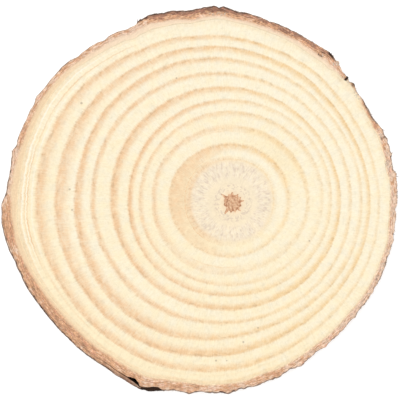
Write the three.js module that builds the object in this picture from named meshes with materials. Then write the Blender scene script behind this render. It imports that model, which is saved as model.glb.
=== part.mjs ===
// A slice of a young pine stem, sawn straight across and dried with its bark on.
// It grew as one piece, so it is one solid: a disc that is a little out of round, with
// two flat sawn faces and a wall of thin, ridged bark. Millimetres, +Z up. The origin is
// the middle of the underside, and the stem stood along Z.
import * as THREE from "three";

// Driving dimensions.
const THICKNESS = 10; // between the two saw cuts
const MEAN_REACH = 48.7; // average distance from the pith to the outside of the bark
const COLUMNS = 288; // points round the stem
const EDGE_BREAK = 0.25; // how far the saw crumbled the bark's top and bottom edges

// The slow swell of the outline about the pith: [waves round the stem, height, bearing of a crest].
// The first one is the lean of the stem, which grew faster on the side at 177 degrees.
const SWELLS = [
  [1, 8.0, 177],
  [2, 0.7, 6.5],
  [4, 0.45, 83.5],
  [8, 0.35, 12.5],
];

// Single humps and hollows of the bark: [bearing, height, half width in degrees].
const HUMPS = [
  [12, -0.4, 3],
  [24, 0.4, 4],
  [48, -0.3, 3],
  [57, 0.6, 3],
  [94, 0.5, 4],
  [103, -0.55, 3],
  [114, 0.5, 3],
  [121, -0.5, 2],
  [160, -0.3, 7],
  [185, 0.8, 6],
  [231, -0.4, 4],
  [244, 0.85, 4],
  [256, -0.35, 4],
  [282, -0.4, 5],
  [307, 0.5, 7],
  [346, 0.35, 5],
];

// Upright bark ridges: [waves round the stem, height, waves through the thickness, offset].
const RIDGES = [
  [37, 0.12, 0.4, 0.3],
  [58, 0.1, -0.7, 1.9],
  [83, 0.08, 1.1, 4.2],
];

// The rings of points down the wall, as [share of the thickness, set-in].
const WALL_RINGS = [
  [1, EDGE_BREAK],
  [0.96, 0.06],
  [0.8, 0],
  [0.6, 0],
  [0.4, 0],
  [0.2, 0],
  [0.04, 0.06],
  [0, EDGE_BREAK],
];

const radians = THREE.MathUtils.degToRad;

// How far bearing b is from bearing a, in degrees, the short way round.
function turnBetween(a, b) {
  return THREE.MathUtils.euclideanModulo(b - a + 180, 360) - 180;
}

// The bark's mean reach from the pith at a bearing: the swells, plus a bell curve for each hump.
function stemReach(bearing) {
  let reach = MEAN_REACH;
  for (const [waves, height, crest] of SWELLS)
    reach += height * Math.cos(radians(waves * (bearing - crest)));
  for (const [at, height, halfWidth] of HUMPS)
    reach += height * Math.exp(-((turnBetween(at, bearing) / halfWidth) ** 2));
  return reach;
}

// The bark's ridges at a bearing and a share of the thickness: a sum of slanting waves.
function ridgeHeight(bearing, share) {
  let height = 0;
  for (const [waves, size, lean, offset] of RIDGES)
    height +=
      size * Math.sin(radians(waves * bearing) + 2 * Math.PI * lean * share + offset);
  return height;
}

// The whole slice as one closed surface: a fan for each sawn face, joined by the wall's rings.
function sliceGeometry() {
  const points = [];
  for (const [share, setIn] of WALL_RINGS)
    for (let i = 0; i < COLUMNS; i++) {
      const bearing = (360 * i) / COLUMNS;
      const reach = stemReach(bearing) + ridgeHeight(bearing, share) - setIn;
      const angle = radians(bearing);
      points.push(
        reach * Math.cos(angle),
        reach * Math.sin(angle),
        THICKNESS * share,
      );
    }
  const topPith = points.length / 3;
  points.push(0, 0, THICKNESS);
  const bottomPith = topPith + 1;
  points.push(0, 0, 0);

  const faces = [];
  const lastRing = (WALL_RINGS.length - 1) * COLUMNS;
  for (let i = 0; i < COLUMNS; i++) {
    const next = (i + 1) % COLUMNS;
    faces.push(topPith, i, next);
    faces.push(bottomPith, lastRing + next, lastRing + i);
    for (let ring = 0; ring < lastRing; ring += COLUMNS) {
      const below = ring + COLUMNS;
      faces.push(ring + i, below + i, below + next);
      faces.push(ring + i, below + next, ring + next);
    }
  }

  const geometry = new THREE.BufferGeometry();
  geometry.setAttribute("position", new THREE.Float32BufferAttribute(points, 3));
  geometry.setIndex(faces);

  // The outline is drawn about the pith. This brings the middle of the outline to the origin.
  geometry.computeBoundingBox();
  const middle = geometry.boundingBox.getCenter(new THREE.Vector3());
  geometry.translate(-middle.x, -middle.y, 0);
  geometry.computeVertexNormals();
  return geometry;
}

const paleWood = new THREE.MeshStandardMaterial({
  color: 0xf3dfb6,
  roughness: 0.75,
  metalness: 0,
});

const slice = new THREE.Mesh(sliceGeometry(), paleWood);
slice.name = "wood_slice";

const part = new THREE.Group();
part.add(slice);

export default part;
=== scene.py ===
"""A dried slice of a young pine stem with its bark on, lying on a white table."""

import bpy
import numpy as np
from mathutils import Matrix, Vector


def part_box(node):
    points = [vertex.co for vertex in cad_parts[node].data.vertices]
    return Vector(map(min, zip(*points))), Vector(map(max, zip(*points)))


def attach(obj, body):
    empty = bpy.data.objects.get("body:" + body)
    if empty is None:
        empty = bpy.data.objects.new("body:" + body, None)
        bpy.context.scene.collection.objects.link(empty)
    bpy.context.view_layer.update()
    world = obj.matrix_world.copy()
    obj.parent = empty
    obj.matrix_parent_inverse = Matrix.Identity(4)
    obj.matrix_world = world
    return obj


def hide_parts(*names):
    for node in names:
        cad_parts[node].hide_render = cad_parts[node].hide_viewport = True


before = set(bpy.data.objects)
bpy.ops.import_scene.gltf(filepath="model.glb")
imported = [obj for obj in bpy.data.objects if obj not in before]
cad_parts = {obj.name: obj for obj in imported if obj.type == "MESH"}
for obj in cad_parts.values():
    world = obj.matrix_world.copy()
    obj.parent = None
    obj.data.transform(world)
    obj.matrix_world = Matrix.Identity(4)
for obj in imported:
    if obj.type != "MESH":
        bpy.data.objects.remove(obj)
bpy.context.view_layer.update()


# ======================================================================
# The wood
# Pale pine: ten full years and most of an eleventh, from the pith out to the bark. The
# stem leaned, so it grew fastest towards -X and its pith is off centre. It was sawn
# straight across, top and bottom, and dried.

low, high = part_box("wood_slice")
MM = 0.001

# The outline of the whole slice, bark included, as distances from the pith.
MEAN_REACH = 48.62  # mm
# Slow swells: waves round the stem, height in mm, bearing of a crest in degrees.
SWELLS = [(1, 8.0, 177), (2, 0.7, 6.5), (4, 0.45, 83.5), (8, 0.35, 12.5)]
# Single humps and hollows: bearing, height in mm, half width in degrees.
HUMPS = [
    (12, -0.4, 3), (24, 0.4, 4), (48, -0.3, 3), (57, 0.6, 3), (86, 0.2, 3), (94, 0.5, 4),
    (103, -0.55, 3), (114, 0.5, 3), (121, -0.5, 2), (140, 0.2, 3), (160, -0.3, 7), (185, 0.8, 6),
    (231, -0.4, 4), (244, 0.85, 4), (256, -0.35, 4), (280, -0.45, 4), (307, 0.5, 7), (346, 0.35, 5),
]

# The bark's make-up round the stem: bearing, depth of the wood under the skin in mm, depth
# of the coloured outer bark in mm (pale inner bark fills the rest), how brown that is, how
# dark the skin is, and how rough it is.
BARK = [
    (0, 2, 1.9, 0.1, 0.15, 0.6), (8, 2, 1.9, 0.35, 0.15, 0.6), (14, 2.1, 1.8, 0.1, 0.35, 0.7),
    (21, 2.1, 1.8, 0.4, 0.35, 0.7), (24, 1.9, 1.6, 0.05, 0.45, 0.6), (28, 1.8, 1.5, 0.75, 0.2, 0.4),
    (31, 1.5, 1.1, 0.6, 0.65, 0.3), (37, 1.4, 1, 0.55, 0.6, 0.3), (40, 1, 0.3, 0, 0.05, 0.2),
    (43, 0.9, 0.7, 0.5, 0.5, 0.3), (45, 0.9, 0.6, 0.5, 0.5, 0.3), (46.5, 0.8, 0.4, 0.1, 0.1, 0.2),
    (49, 1.5, 1.3, 0.45, 0.2, 0.3), (51.5, 1.9, 1.4, 0.25, 0.15, 0.3), (53, 2.4, 1.6, 0.1, 0.05, 0.4),
    (55, 3.2, 2, 0.7, 0.9, 0.6), (58, 3.4, 2.1, 0.7, 0.6, 0.9), (62, 3.2, 2, 0.7, 0.4, 0.9),
    (67, 3, 1.9, 0.75, 0.55, 0.9), (72, 2.9, 1.9, 0.75, 0.7, 0.9), (80, 2.9, 1.9, 0.8, 0.42, 0.9),
    (86.5, 3.1, 2.2, 0.8, 0.9, 1), (92, 3.3, 2.3, 1, 0.9, 1), (100, 3.5, 2.5, 1, 1, 1),
    (108, 3.6, 2.3, 0.95, 1, 0.9), (113, 3.8, 2.2, 0.9, 1, 0.9), (117, 3.5, 2, 0.3, 0.9, 0.7),
    (119, 3.2, 1.6, 0.15, 0.1, 0.4), (126, 3, 1.5, 0.2, 0.1, 0.35), (136, 2.9, 1.6, 0.4, 0.15, 0.35),
    (140, 2.9, 1.6, 0.45, 0.4, 0.35), (146, 2.9, 1.4, 0.4, 0.3, 0.35), (156, 2.9, 1.4, 0.45, 0.2, 0.35),
    (163, 3, 1.5, 0.5, 0.35, 0.35), (167, 3.1, 1.5, 0.2, 0.45, 0.35), (176, 3.4, 1.3, 0.15, 0.5, 0.35),
    (182, 3.8, 2.2, 0.65, 0.4, 0.4), (186, 3.8, 2.6, 0.95, 0.62, 0.4), (192, 3.7, 2.1, 0.5, 0.7, 0.35),
    (198, 3.7, 2.5, 0.85, 0.85, 0.35), (206, 3.8, 2.8, 0.75, 0.85, 0.35), (222, 4, 3, 0.8, 0.85, 0.35),
    (230, 3.9, 3, 0.75, 0.85, 0.35), (238, 3.9, 3.1, 0.65, 0.9, 0.35), (244, 4, 3.4, 0.4, 0.95, 0.4),
    (249, 3.7, 3.1, 0.45, 0.85, 0.5), (253, 3.1, 2.5, 0.55, 0.6, 0.6), (257, 2.7, 2.3, 0.55, 0.6, 0.7),
    (262, 2.5, 2.1, 0.35, 0.6, 0.8), (268, 2.5, 2.2, 0.55, 0.85, 0.8), (273, 2.6, 2, 0.3, 0.75, 0.8),
    (278, 2.5, 2.2, 0.55, 0.6, 0.9), (284, 2.5, 2.2, 0.6, 0.7, 0.9), (290, 2.3, 2, 0.3, 0.6, 0.9),
    (296, 1.9, 1.6, 0.35, 0.45, 0.9), (303, 1.9, 1.6, 0.4, 0.3, 0.8), (315, 1.8, 1.5, 0.1, 0.3, 0.9),
    (322, 1.8, 1.5, 0.1, 0.4, 0.9), (327, 1.8, 1.5, 0.25, 0.3, 0.9), (337, 1.7, 1.5, 0.1, 0.5, 0.9),
    (346, 1.6, 1.4, 0.15, 0.3, 0.8), (353, 1.8, 1.6, 0.3, 0.2, 0.7),
]
THICK, COLOURED, BROWN, DARK, ROUGH = range(1, 6)
LATTICE_ROWS = 97  # rows of random values before the noise repeats


def bell(bearing, at, half_width):
    """A hump that is 1 at one bearing: exp of minus the square of (turn / half width)."""
    turn = (bearing - at + 180) % 360 - 180
    return np.exp(-((turn / half_width) ** 2))


def eased(share):
    """A share from 0 to 1, made slow at both ends: 3 s squared minus 2 s cubed."""
    share = np.clip(share, 0, 1)
    return share * share * (3 - 2 * share)


def round_stem(bearing, rows, column):
    """A column of values given at some bearings, eased from each to the next round the stem."""
    known = np.array(rows)
    known = np.vstack([known, known[0]])
    known[-1, 0] += 360
    place = np.searchsorted(known[:, 0], bearing, side="right") - 1
    start, end = known[place], known[place + 1]
    share = eased((bearing - start[..., 0]) / (end[..., 0] - start[..., 0]))
    return start[..., column] * (1 - share) + end[..., column] * share


def soft_noise(bearing, cells, along, seed):
    """Random values from -1 to 1 on a lattice with so many cells round the stem, eased
    between its points."""
    values = np.random.default_rng(seed).uniform(-1, 1, (cells, LATTICE_ROWS))
    across, along = np.broadcast_arrays(bearing / 360 * cells, along)
    column, row = np.floor(across).astype(int), np.floor(along).astype(int)
    right, up = eased(across - column), eased(along - row)
    here, beyond = column % cells, (column + 1) % cells
    edges = []
    for level in (row % LATTICE_ROWS, (row + 1) % LATTICE_ROWS):
        edges.append(values[here, level] * (1 - right) + values[beyond, level] * right)
    return edges[0] * (1 - up) + edges[1] * up


def stem_reach(bearing):
    """Distance from the pith to the outside of the bark, in metres: the mean, plus a cosine
    for each swell and a bell for each hump."""
    reach = MEAN_REACH + 0.0 * bearing
    for waves, height, crest in SWELLS:
        reach = reach + height * np.cos(np.radians(waves * (bearing - crest)))
    for at, height, half_width in HUMPS:
        reach = reach + height * bell(bearing, at, half_width)
    return reach * MM


def wood_reach(bearing):
    """Distance from the pith to where the wood ends and the bark begins, in metres."""
    grain = soft_noise(bearing, 240, 0.0, 5)
    return stem_reach(bearing) - (round_stem(bearing, BARK, THICK) + 0.07 * grain) * MM


# The pith is where it leaves the outline centred on the frame's own box.
turn_round = np.arange(0.0, 360.0, 0.5)
outline_x = stem_reach(turn_round) * np.cos(np.radians(turn_round))
outline_y = stem_reach(turn_round) * np.sin(np.radians(turn_round))
PITH_X = (low.x + high.x - outline_x.min() - outline_x.max()) / 2
PITH_Y = (low.y + high.y - outline_y.min() - outline_y.max()) / 2

# The end of each year's ring: mean radius in mm, then one swell each of one, two, three
# and four waves round the stem, as its height in mm and the bearing of a crest.
RINGS = [
    (11.45, (0.6, 131), (0.05, 0), (0.05, 37), (0.1, 40)),
    (14.9, (1.0, 141), (0.45, 179), (0.1, 36), (0.05, 77)),
    (19.5, (1.0, 132), (0.55, 6), (0.15, 119), (0.1, 59)),
    (22.8, (1.15, 116), (0.6, 6), (0.1, 112), (0.05, 20)),
    (25.45, (1.35, 125), (0.4, 6), (0.15, 98), (0.1, 39)),
    (28.7, (2.1, 151), (0.5, 162), (0.05, 106), (0.05, 63)),
    (32.45, (3.1, 160), (0.7, 167), (0.1, 108), (0.1, 43)),
    (36.05, (4.1, 168), (0.5, 5), (0.5, 110), (0.2, 47)),
    (39.3, (5.3, 176), (0.45, 6), (0.25, 112), (0.15, 70)),
    (42.7, (6.35, 180), (0.6, 175), (0.15, 24), (0.2, 73)),
]
# How dark each year's latewood is, and where in the year it begins, at every 45 degrees.
LATE_DARK = [
    (0.3, 0.3, 0.35, 0.75, 0.85, 0.75, 0.2, 0.25), (0.5, 0.85, 0.75, 0.68, 0.62, 0.42, 0.45, 0.45),
    (0.4, 0.65, 0.45, 0.55, 0.6, 0.35, 0.4, 0.35), (0.25, 0.5, 0.55, 0.55, 0.55, 0.5, 0.45, 0.35),
    (0.45, 0.4, 0.6, 0.9, 1.05, 0.7, 0.75, 0.5), (0.7, 0.7, 0.8, 0.9, 0.9, 0.85, 0.9, 0.95),
    (0.45, 0.5, 0.6, 0.7, 0.7, 0.7, 0.65, 0.5), (0.45, 0.45, 0.65, 0.85, 0.9, 0.85, 0.75, 0.6),
    (0.7, 0.9, 0.9, 0.8, 0.8, 0.85, 0.95, 0.75), (0.35, 0.65, 0.8, 0.75, 0.75, 0.8, 0.85, 0.45),
    (0.1, 0.3, 0.2, 0.15, 0.3, 0.35, 0.45, 0.15),
]
LATE_START = [
    (0.8, 0.8, 0.8, 0.8, 0.8, 0.8, 0.8, 0.8), (0.55, 0.33, 0.28, -0.7, -1.5, -0.6, 0.4, 0.45),
    (0.75, 0.55, 0.5, 0.58, 0.55, 0.35, 0.35, 0.53), (0.55, 0.5, 0.5, 0.58, 0.5, 0.5, 0.47, 0.5),
    (0.33, 0.4, 0.44, 0.4, 0.37, 0.33, 0.32, 0.33), (0.25, 0.2, 0.37, 0.35, 0.4, 0.4, 0.38, 0.28),
    (0.47, 0.55, 0.57, 0.63, 0.66, 0.53, 0.6, 0.54), (0.48, 0.48, 0.53, 0.37, 0.31, 0.3, 0.46, 0.3),
    (0.26, 0.12, 0.3, 0.2, 0.1, 0.2, 0.34, 0.24), (0.52, 0.38, 0.42, 0.33, 0.2, 0.28, 0.42, 0.58),
    (0.6, 0.5, 0.6, 0.75, 0.75, 0.7, 0.6, 0.65),
]
# Earlywood that is warmer or paler than the rest: which year, towards which bearing, how
# wide to each side, and how much.
EARLY_PATCHES = [
    (1, 185, 50, 0.5), (2, 45, 35, 0.32), (2, 270, 45, -0.1), (3, 110, 60, 0.1), (6, 0, 50, -0.08),
    (6, 225, 30, -0.12), (7, 190, 40, -0.12), (7, 0, 50, -0.1), (8, 180, 30, -0.16),
    (10, 225, 60, 0.18),
]
# The brown star of the pith: bearing, how far the ray reaches beyond it, in mm, half width.
PITH_RADIUS = 2.1  # mm
PITH_RAYS = [
    (11, 0.9, 5), (33, 0.4, 8), (58, 0.45, 6), (93, 0.6, 7), (113, 0.3, 8), (142, 1.5, 6),
    (163, 0.2, 8), (192, 0.15, 8), (234, 1.4, 7), (259, 0.4, 6), (286, 0.5, 6), (314, 0.8, 6),
    (342, 0.2, 8),
]
PITH_BLUR = 0.6  # mm
YEAR_FADE = 0.125  # how far into the next year the dark end of a year fades out
LATE_FULL = 0.86  # where in its year the latewood is darkest
LATE_FALL = (0.88, 1.12)  # and from where to where it fades again
FACE_DROP = 0.08  # mm, how far the sawn faces lie inside the frame's box
LATE_PROUD = 0.035  # mm, how far latewood stands out of the sawn face
PITH_LOW = 0.1  # mm, how far the pith lies below it
WOOD_COLUMNS = 480
WOOD_VALUES = ["year", "late_dark", "late_start", "early_warm", "pith"]

bearings = np.arange(WOOD_COLUMNS) * 360 / WOOD_COLUMNS
eighths = np.arange(8) * 45.0
dark_by_year = [round_stem(bearings, list(zip(eighths, row)), 1) for row in LATE_DARK]
start_by_year = [round_stem(bearings, list(zip(eighths, row)), 1) for row in LATE_START]
warm_by_year = np.zeros((11, WOOD_COLUMNS)) - 0.1 * np.cos(np.radians(bearings - 55))
for year, towards, half_width, amount in EARLY_PATCHES:
    warm_by_year[year] += amount * bell(bearings, towards, half_width)
year_ends = [np.zeros(WOOD_COLUMNS)]
# The later a year, the more its end follows the bumps of the outline, apart from its main swell.
main_swell = SWELLS[0][1] * np.cos(np.radians(bearings - SWELLS[0][2]))
bumps = stem_reach(bearings) / MM - MEAN_REACH - main_swell
for year, (radius, *waves) in enumerate(RINGS):
    follow = 0.3 * ((year + 1) / 11) ** 3
    wobble = 0.08 * soft_noise(bearings, 30, year * 0.45, 21) + 0.05 * soft_noise(bearings, 120, year, 22)
    reach = radius + follow * bumps + wobble
    for count, (height, crest) in enumerate(waves, 1):
        reach = reach + height * np.cos(np.radians(count * (bearings - crest)))
    year_ends.append(reach * MM)
year_ends.append(wood_reach(bearings))


def wood_row(year, height, up):
    """One row of points round the stem at an age in years, set off the sawn face's height:
    latewood, the harder part, stands a little proud and the pith a little low."""
    ring = min(int(year), 10)
    share = year - ring
    reach = year_ends[ring] * (1 - share) + year_ends[ring + 1] * share
    star = PITH_RADIUS + sum(length * bell(bearings, at, half) for at, length, half in PITH_RAYS)
    pith = eased(0.5 + (star - reach / MM) / PITH_BLUR) if year < 0.5 else np.zeros(WOOD_COLUMNS)
    ending = min(int(max(year - YEAR_FADE, 0)), 10)
    dark, start, warm = dark_by_year[ending], start_by_year[ending], warm_by_year[ring]
    late = dark * eased((year - ending - start) / (LATE_FULL - start))
    late = late * eased((ending + LATE_FALL[1] - year) / (LATE_FALL[1] - LATE_FALL[0]))
    speckle = soft_noise(bearings, 60, reach / MM * 5, 31)
    relief = LATE_PROUD * late - pith * (PITH_LOW + 0.06 * speckle)
    x = PITH_X + reach * np.cos(np.radians(bearings))
    y = PITH_Y + reach * np.sin(np.radians(bearings))
    z = height + up * relief * MM
    return np.stack([x, y, z], 1), np.stack([np.full(WOOD_COLUMNS, year), dark, start, warm, pith], 1)


def fill_mesh(name, points, faces, values, bake_places):
    """Makes a mesh object of points and faces, with its per-point values as named attributes
    and its flat layout as the UV map that finishes are baked through."""
    mesh = bpy.data.meshes.new(name)
    mesh.from_pydata(points.tolist(), [], faces)
    for value_name, kind, value in values:
        attribute = mesh.attributes.new(value_name, kind, "POINT")
        field = "value" if kind == "FLOAT" else "color"
        attribute.data.foreach_set(field, value.astype(np.float32).ravel())
    layout = mesh.uv_layers.new(name="OFBake")
    layout.data.foreach_set("uv", bake_places.astype(np.float32).ravel())
    mesh.polygons.foreach_set("use_smooth", np.ones(len(mesh.polygons), bool))
    mesh.update()
    piece = bpy.data.objects.new(name, mesh)
    bpy.context.scene.collection.objects.link(piece)
    return piece


def quads_between(rows, columns, loop):
    """Quads between each row of points and the next, closed round the columns, and from the
    last row to the first if it is a loop. Returns them with each corner's row and column."""
    row, column = np.mgrid[0:rows if loop else rows - 1, 0:columns]
    corner_row = np.stack([row, row + 1, row + 1, row], -1).reshape(-1, 4)
    corner_column = np.stack([column, column, column + 1, column + 1], -1).reshape(-1, 4)
    return corner_row % rows * columns + corner_column % columns, corner_row, corner_column


def row_years(heart, steps):
    """The ages of the rows of points on a sawn face: through the heart, then at the same
    steps in each year, out to the bark."""
    return np.concatenate([heart, np.add.outer(np.arange(1, 11), steps).ravel(), [11.0]])


heart_years = np.append(np.arange(0.012, 0.36, 0.012), [0.42, 0.52, 0.62, 0.72, 0.8, 0.87, 0.93, 0.97])
top_years = row_years(heart_years, [0.0, 0.06, 0.12, 0.13, 0.28, 0.44, 0.6, 0.74, 0.86, 0.95])
base_years = row_years(heart_years[::4], [0.0, 0.45, 0.8, 0.97])
top_height = high.z - FACE_DROP * MM
base_height = low.z + FACE_DROP * MM
wood_rows = [wood_row(year, top_height, 1) for year in top_years]
wood_rows += [wood_row(11.0, height, 0) for height in np.linspace(top_height, base_height, 5)[1:-1]]
wood_rows += [wood_row(year, base_height, -1) for year in base_years[::-1]]
pith_points = [[PITH_X, PITH_Y, wood_rows[end][0][:, 2].mean()] for end in (0, -1)]
wood_points = np.vstack([row[0] for row in wood_rows] + [pith_points])
wood_values = np.vstack([row[1] for row in wood_rows] + [wood_rows[0][1][:1], wood_rows[-1][1][-1:]])
wood_values[-2:, 0] = 0.0

quads, corner_row, corner_column = quads_between(len(wood_rows), WOOD_COLUMNS, False)
around = np.arange(WOOD_COLUMNS)
beyond = (around + 1) % WOOD_COLUMNS
last_row = (len(wood_rows) - 1) * WOOD_COLUMNS
top_fan = np.stack([np.full(WOOD_COLUMNS, len(wood_points) - 2), around, beyond], 1)
base_fan = np.stack([np.full(WOOD_COLUMNS, len(wood_points) - 1), last_row + beyond, last_row + around], 1)

# Flat layout: the top face as a large disc, the underside as a smaller one in the opposite
# corner, and the wall, which the bark hides, as a narrow strip.
TOP_DISC = (0.315, 0.685, 0.62)
BASE_DISC = (0.735, 0.265, 0.51)


def disc_places(index, disc):
    """Where points of a sawn face lie on the layout: their x and y, scaled to a disc there."""
    centre_u, centre_v, across = disc
    scale = across / (high.x - low.x)
    x, y = wood_points[index, 0], wood_points[index, 1]
    return np.stack([centre_u + x * scale, centre_v + y * scale], -1)


wall_u = 0.66 + 0.33 * corner_column / WOOD_COLUMNS
wall_v = 0.97 - 0.02 * (corner_row - len(top_years) + 1)
on_top = corner_row.min(1) < len(top_years) - 1
on_base = corner_row.min(1) >= len(top_years) + 3
quad_places = np.stack([wall_u, wall_v], -1)
quad_places[on_top] = disc_places(quads[on_top], TOP_DISC)
quad_places[on_base] = disc_places(quads[on_base], BASE_DISC)
wood_places = np.concatenate([
    quad_places.reshape(-1, 2),
    disc_places(top_fan, TOP_DISC).reshape(-1, 2),
    disc_places(base_fan, BASE_DISC).reshape(-1, 2),
])
wood = fill_mesh(
    "wood",
    wood_points,
    quads.tolist() + top_fan.tolist() + base_fan.tolist(),
    [(name, "FLOAT", column) for name, column in zip(WOOD_VALUES, wood_values.T)],
    wood_places,
)


def add_node(material, kind, inputs, **settings):
    """Adds a shader node with its settings. Each input is a value or another node's output."""
    node = material.node_tree.nodes.new(kind)
    for name, value in settings.items():
        setattr(node, name, value)
    for name, value in inputs.items():
        if isinstance(value, bpy.types.NodeSocket):
            material.node_tree.links.new(value, node.inputs[name])
        else:
            node.inputs[name].default_value = value
    return node


def maths(material, operation, first, second=0.0, clamp=False):
    """One sum on numbers, as an output."""
    settings = {"operation": operation, "use_clamp": clamp}
    return add_node(material, "ShaderNodeMath", {0: first, 1: second}, **settings).outputs[0]


def product(material, value, *others):
    """Numbers multiplied together, as an output."""
    for other in others:
        value = maths(material, "MULTIPLY", value, other)
    return value


def total(material, value, *others):
    """Numbers added together, as an output."""
    for other in others:
        value = maths(material, "ADD", value, other)
    return value


def vector_maths(material, operation, inputs, output="Vector"):
    """One sum on vectors, as an output."""
    return add_node(material, "ShaderNodeVectorMath", inputs, operation=operation).outputs[output]


def ramp(material, value, start, end, low_value=0.0, high_value=1.0):
    """A value carried smoothly from one range to another, as an output."""
    inputs = {"Value": value, "From Min": start, "From Max": end, "To Min": low_value, "To Max": high_value}
    return add_node(material, "ShaderNodeMapRange", inputs, interpolation_type="SMOOTHSTEP").outputs[0]


def mixed(material, share, first, second, blend="MIX"):
    """Two colours mixed by a share, as an output."""
    inputs = {0: share, 6: first, 7: second}
    return add_node(material, "ShaderNodeMix", inputs, data_type="RGBA", blend_type=blend).outputs[2]


def toned(material, colour, tone):
    """A colour times a number, as an output."""
    tone_colour = add_node(material, "ShaderNodeCombineColor", {0: tone, 1: tone, 2: tone}).outputs[0]
    return mixed(material, 1.0, colour, tone_colour, "MULTIPLY")


def noise(material, place, scale, detail=2.0, roughness=0.5):
    """Noise from 0 to 1 at a place, as an output."""
    inputs = {"Vector": place, "Scale": scale, "Detail": detail, "Roughness": roughness}
    return add_node(material, "ShaderNodeTexNoise", inputs).outputs["Fac"]


def attribute(material, name, output="Fac"):
    """One of the mesh's own values, as an output."""
    return add_node(material, "ShaderNodeAttribute", {}, attribute_name=name).outputs[output]


def new_finish(name, roughness, gloss):
    """A material with its roughness and gloss, and its surface shader."""
    material = bpy.data.materials.new(name)
    material.use_nodes = True
    shader = material.node_tree.nodes["Principled BSDF"]
    shader.inputs["Roughness"].default_value = roughness
    shader.inputs["Specular IOR Level"].default_value = gloss
    return material, shader


def finish_surface(material, shader, colour, height, strength, depth):
    """Gives a material its colour, and bumps of a strength and depth from a height."""
    inputs = {"Height": height, "Strength": strength, "Distance": depth}
    bump = add_node(material, "ShaderNodeBump", inputs)
    material.node_tree.links.new(colour, shader.inputs["Base Color"])
    material.node_tree.links.new(bump.outputs[0], shader.inputs["Normal"])


# Bare pine: cream earlywood and peach latewood, drawn from each point's age in years.
PALE_CREAM = (0.795, 0.725, 0.568, 1)
WARM_CREAM = (0.79, 0.675, 0.458, 1)
LATE_PEACH = (0.715, 0.475, 0.278, 1)  # on the fast side, towards -X
LATE_YELLOW = (0.735, 0.525, 0.28, 1)  # on the slow side
HEARTWOOD = (0.765, 0.64, 0.46, 1)
HEART_PALE = (0.785, 0.7, 0.55, 1)
FLECK_GREY = (0.52, 0.41, 0.34, 1)
SMUDGE_LILAC = (0.66, 0.54, 0.45, 1)
PITH_DARK = (0.36, 0.17, 0.09, 1)
PITH_BROWN = (0.57, 0.325, 0.19, 1)
PITH_LIGHT = (0.74, 0.52, 0.335, 1)
EDGE_BROWN = (0.52, 0.34, 0.19, 1)
LINE_PALE = (0.83, 0.775, 0.65, 1)
# Fainter rings inside a year: age, half width in years, how dark (below 0: how pale),
# towards which bearing, and how far round from there.
FALSE_RINGS = [
    (0.44, 0.02, 0.2, 250, 80), (0.935, 0.02, 0.8, 50, 110), (0.92, 0.025, 0.65, 190, 60),
    (2.57, 0.06, 0.4, 255, 28), (1.07, 0.07, 0.9, 185, 85), (2.68, 0.05, 0.25, 100, 35),
    (10.45, 0.06, 0.8, 182, 24), (10.42, 0.07, 0.6, 143, 30), (10.61, 0.045, 0.7, 177, 22),
    (10.75, 0.07, -0.8, 162, 48), (10.53, 0.035, -0.7, 178, 24), (10.2, 0.1, -0.5, 165, 45),
    (10.33, 0.14, 0.3, 210, 25), (10.32, 0.15, 0.15, 268, 30),
]
# Dark specks: x and y from the pith, and radius, in mm.
SPECKS = [
    (-38.2, 25.2, 0.34), (-41.2, 3.4, 0.3), (-40.6, -1.8, 0.28), (6.4, -31.6, 0.25), (2.7, -35.2, 0.28),
    (-4.2, -39.9, 0.28), (-1.5, -39.9, 0.2), (19.4, -9.6, 0.25), (-14.2, 31.5, 0.25),
]
SPECK_BROWN = (0.3, 0.23, 0.17, 1)


def place_about_pith(material):
    """A point's place from the foot of the pith, the same place laid flat, its distance from
    the pith's axis and its direction from there, as outputs."""
    place = add_node(material, "ShaderNodeTexCoord", {}).outputs["Object"]
    inputs = {"Vector": place, "Location": (-PITH_X, -PITH_Y, 0)}
    shifted = add_node(material, "ShaderNodeMapping", inputs).outputs[0]
    flat = vector_maths(material, "MULTIPLY", {0: shifted, 1: (1, 1, 0)})
    distance = vector_maths(material, "LENGTH", {0: flat}, "Value")
    direction = vector_maths(material, "NORMALIZE", {0: flat})
    return shifted, flat, distance, direction


def drawn_noise(material, direction, turns, along, scale, detail=2.0):
    """Noise from 0 to 1 at the direction from the pith times a number of turns, with another
    measure times its own scale, so that it is drawn out along the radius or the rings."""
    stretched = vector_maths(material, "SCALE", {0: direction, "Scale": turns})
    lifted = add_node(material, "ShaderNodeCombineXYZ", {2: product(material, along, scale)}).outputs[0]
    return noise(material, vector_maths(material, "ADD", {0: stretched, 1: lifted}), 1.0, detail)


pine, pine_shader = new_finish("bare_pine", 0.72, 0.25)
from_pith, flat_place, distance, direction = place_about_pith(pine)
rays = drawn_noise(pine, direction, 120, distance, 160)
fine_rays = drawn_noise(pine, direction, 300, distance, 500)
patches = drawn_noise(pine, direction, 13, distance, 900)
strokes = drawn_noise(pine, direction, 24, distance, 1400)
hatch = drawn_noise(pine, direction, 90, distance, 900)
mottle = noise(pine, from_pith, 420, 3)
cells = noise(pine, from_pith, 1150, 2)
grain = noise(pine, from_pith, 2500, 3, 0.6)

year_now, late_dark = attribute(pine, "year"), attribute(pine, "late_dark")
ragged = product(pine, maths(pine, "SUBTRACT", rays, 0.5), 0.14)
year_here = total(pine, year_now, ragged)
phase = maths(pine, "FRACT", maths(pine, "SUBTRACT", year_here, YEAR_FADE))
phase = total(pine, phase, YEAR_FADE)
late_rise = ramp(pine, phase, attribute(pine, "late_start"), LATE_FULL)
late_end = ramp(pine, phase, 0.89, 1.11, 1.0, 0.0)
late_here = product(
    pine, late_rise, late_end, late_dark,
    ramp(pine, year_now, 0.7, 0.95),
    ramp(pine, fine_rays, 0.3, 0.7, 0.8, 1.2),
    ramp(pine, hatch, 0.25, 0.75, 1.12, 0.88),
    ramp(pine, patches, 0.25, 0.75, 0.68, 1.3),
)

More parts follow.
